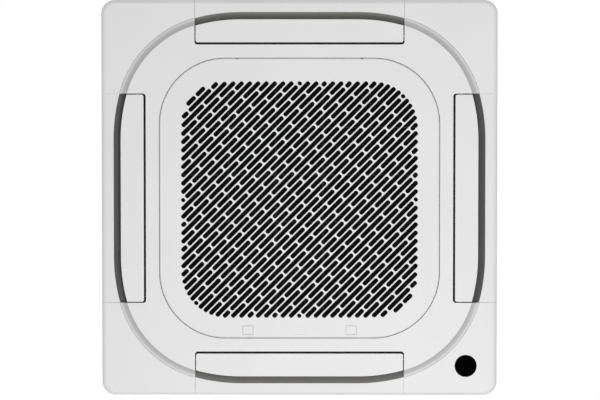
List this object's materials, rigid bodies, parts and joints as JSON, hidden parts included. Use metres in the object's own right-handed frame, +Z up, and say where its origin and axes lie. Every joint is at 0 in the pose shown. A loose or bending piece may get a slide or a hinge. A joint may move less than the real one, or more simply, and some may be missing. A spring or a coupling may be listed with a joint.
{
  "type": "ceiling cassette air conditioner",
  "caption": "Square four-way ceiling cassette: slotted intake grille, flush louvers, corner covers, turbo fan and coil in an octagonal casing.",
  "frame": {"origin": "middle of the panel's lowest face, the middle of the bounding box's bottom", "axes": "+Z up into the ceiling, -Y towards the grille's latches, -X -Y the corner with the receiver window"},
  "size_m": [0.95, 0.95, 0.3015],
  "materials": {
    "panel_white": "satin",
    "window_black": "gloss",
    "board_green": "satin",
    "part_white": "satin",
    "filter_grey": "matte",
    "foam_grey": "matte",
    "insulation_white": "matte",
    "fan_plastic": "satin",
    "galvanised": "spangled",
    "motor_steel": "satin",
    "rubber_black": "matte",
    "fin_aluminium": "satin",
    "copper": "satin",
    "brass": "satin",
    "pump_grey": "satin"
  },
  "bodies": {
    "unit": {"bell_mouth": "fan_plastic", "cable_grommet": "rubber_black", "casing_wall": "galvanised", "circuit_board": "board_green", "coil_fins": "fin_aluminium", "control_box": "galvanised", "control_box_cover": "galvanised", "corner_cover_xn_yn": "panel_white", "corner_cover_xn_yp": "panel_white", "corner_cover_xp_yn": "panel_white", "corner_cover_xp_yp": "panel_white", "drain_hose": "rubber_black", "drain_pan": "insulation_white", "drain_pump": "pump_grey", "drain_spout": "part_white", "fan_motor": "motor_steel", "float_stem": "part_white", "gas_pipe": "copper", "gas_union": "brass", "hanger_bracket_xn_yn": "galvanised", "hanger_bracket_xn_yp": "galvanised", "hanger_bracket_xp_yn": "galvanised", "hanger_bracket_xp_yp": "galvanised", "insulation_top": "insulation_white", "insulation_wall": "insulation_white", "liquid_pipe": "copper", "liquid_union": "brass", "louver_motor_xn": "motor_steel", "louver_motor_xp": "motor_steel", "louver_motor_yn": "motor_steel", "louver_motor_yp": "motor_steel", "louver_pivots": "part_white", "motor_bracket": "galvanised", "motor_dampers": "rubber_black", "panel_frame": "panel_white", "panel_screws": "motor_steel", "panel_seal": "foam_grey", "pipe_cover": "galvanised", "pump_bracket": "galvanised", "receiver_board": "board_green", "receiver_window": "window_black", "return_bends": "copper", "room_sensor": "rubber_black", "terminal_block": "part_white", "top_plate": "galvanised", "tube_sheets": "galvanised"},
    "grille": {"grille": "panel_white", "filter_frame": "filter_grey", "filter_net": "filter_grey"},
    "latch_xn": {"latch_xn": "panel_white"},
    "latch_xp": {"latch_xp": "panel_white"},
    "fan": {"turbo_fan": "fan_plastic", "fan_nut": "motor_steel", "motor_shaft": "motor_steel"},
    "float": {"float_ring": "pump_grey"},
    "louver_yp": {"louver_yp": "panel_white"},
    "louver_xn": {"louver_xn": "panel_white"},
    "louver_yn": {"louver_yn": "panel_white"},
    "louver_xp": {"louver_xp": "panel_white"}
  },
  "joints": [
    {"name": "louver_yp_hinge", "type": "hinge", "parent": "unit", "child": "louver_yp", "pos_m": [0, 0.388, 0.012], "axis": [-1, 0, 0], "range_deg": [0, 65]},
    {"name": "louver_xn_hinge", "type": "hinge", "parent": "unit", "child": "louver_xn", "pos_m": [-0.388, 0, 0.012], "axis": [0, -1, 0], "range_deg": [0, 65]},
    {"name": "louver_yn_hinge", "type": "hinge", "parent": "unit", "child": "louver_yn", "pos_m": [0, -0.388, 0.012], "axis": [1, 0, 0], "range_deg": [0, 65]},
    {"name": "louver_xp_hinge", "type": "hinge", "parent": "unit", "child": "louver_xp", "pos_m": [0.388, 0, 0.012], "axis": [0, 1, 0], "range_deg": [0, 65]},
    {"name": "grille_hinge", "type": "hinge", "parent": "unit", "child": "grille", "pos_m": [0, 0.305, 0.002], "axis": [1, 0, 0], "range_deg": [0, 75]},
    {"name": "latch_xn_slide", "type": "slide", "parent": "grille", "child": "latch_xn", "axis": [0, -1, 0], "range_m": [0, 0.0055]},
    {"name": "latch_xp_slide", "type": "slide", "parent": "grille", "child": "latch_xp", "axis": [0, -1, 0], "range_m": [0, 0.0055]},
    {"name": "fan_spin", "type": "hinge", "parent": "unit", "child": "fan", "pos_m": [0, 0, 0.2], "axis": [0, 0, 1], "continuous": true},
    {"name": "float_rise", "type": "slide", "parent": "unit", "child": "float", "axis": [0, 0, 1], "range_m": [0, 0.015]}
  ]
}
